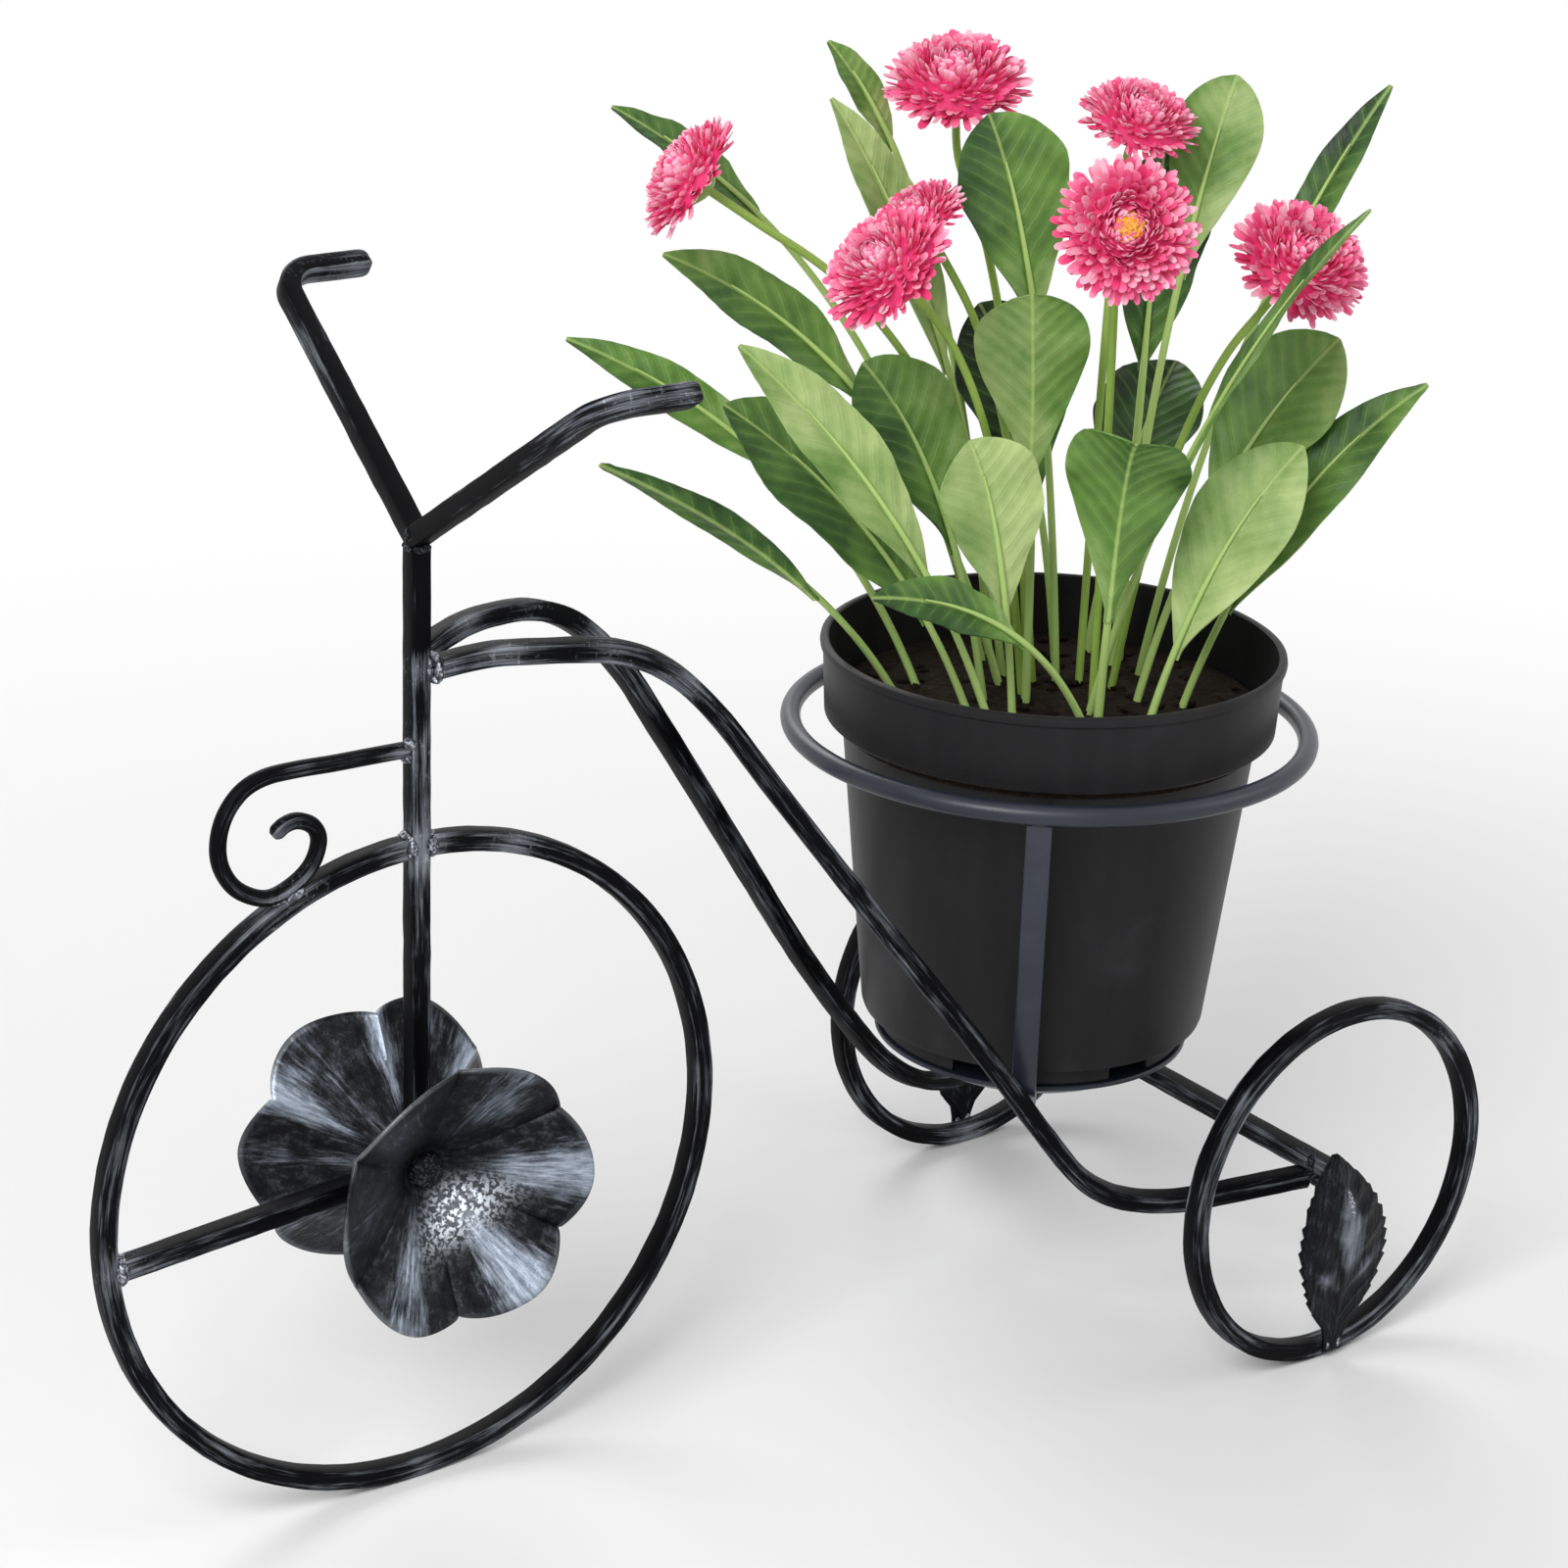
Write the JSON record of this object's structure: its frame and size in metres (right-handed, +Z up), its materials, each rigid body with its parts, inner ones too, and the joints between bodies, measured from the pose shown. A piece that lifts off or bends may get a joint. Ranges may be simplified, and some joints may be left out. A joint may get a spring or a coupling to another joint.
{
  "type": "bicycle planter",
  "caption": "Welded iron tricycle stand with a ring holder that carries a flower pot behind its stem, for a potted flowering plant.",
  "frame": {"origin": "on the ground, below the middle of the overall length", "axes": "+Z up, +X from the front wheel to the rear wheels, +Y to the far side, away from the rear leaf that shows first"},
  "size_m": [0.5222, 0.2338, 0.4762],
  "materials": {
    "forged_black_silver": "black paint with silver brushed over its edges, hammered leaves and welds",
    "holder_slate": "satin slate blue-grey paint",
    "pot_black": "satin black moulded plastic",
    "soil_dark": "dark, crumbly peat and bark compost",
    "leaf_green": "soft matte leaf with a pale midrib",
    "stalk_green": "soft matte stalk",
    "petal_pink": "soft petals round a yellow centre"
  },
  "bodies": {
    "stand": {"fender_scroll": "forged_black_silver", "frame_rail_far": "forged_black_silver", "frame_rail_near": "forged_black_silver", "front_rim": "forged_black_silver", "front_spoke": "forged_black_silver", "handlebar_far": "forged_black_silver", "handlebar_near": "forged_black_silver", "holder_cradle": "holder_slate", "holder_dish": "holder_slate", "holder_ring": "holder_slate", "holder_stay": "holder_slate", "hub_button_far": "forged_black_silver", "hub_button_near": "forged_black_silver", "hub_flower_far": "forged_black_silver", "hub_flower_near": "forged_black_silver", "rear_axle": "forged_black_silver", "rear_leaf_far": "forged_black_silver", "rear_leaf_near": "forged_black_silver", "rear_rim_far": "forged_black_silver", "rear_rim_near": "forged_black_silver", "stem_bar": "forged_black_silver"},
    "potted_plant": {"daisy_back": "petal_pink", "daisy_back_stalk": "stalk_green", "daisy_behind": "petal_pink", "daisy_behind_stalk": "stalk_green", "daisy_centre": "petal_pink", "daisy_centre_stalk": "stalk_green", "daisy_left": "petal_pink", "daisy_left_stalk": "stalk_green", "daisy_middle": "petal_pink", "daisy_middle_stalk": "stalk_green", "daisy_right": "petal_pink", "daisy_right_stalk": "stalk_green", "daisy_top": "petal_pink", "daisy_top_stalk": "stalk_green", "leaf_back_centre": "leaf_green", "leaf_back_left": "leaf_green", "leaf_back_right": "leaf_green", "leaf_back_tall": "leaf_green", "leaf_behind_daisy": "leaf_green", "leaf_centre_low": "leaf_green", "leaf_centre_round": "leaf_green", "leaf_front_pale": "leaf_green", "leaf_front_small": "leaf_green", "leaf_left_broad": "leaf_green", "leaf_left_curled": "leaf_green", "leaf_left_high": "leaf_green", "leaf_left_long": "leaf_green", "leaf_left_low": "leaf_green", "leaf_right_broad": "leaf_green", "leaf_right_diagonal": "leaf_green", "leaf_right_high": "leaf_green", "leaf_right_long": "leaf_green", "leaf_right_upright": "leaf_green", "leaf_top_broad": "leaf_green", "leaf_top_long": "leaf_green", "leaf_top_round": "leaf_green", "leaf_top_small": "leaf_green", "pot": "pot_black", "soil": "soil_dark"}
  },
  "joints": [
    {"name": "pot_lift", "type": "slide", "parent": "stand", "child": "potted_plant", "axis": [0, 0, 1], "range_m": [0, 0.15]}
  ]
}
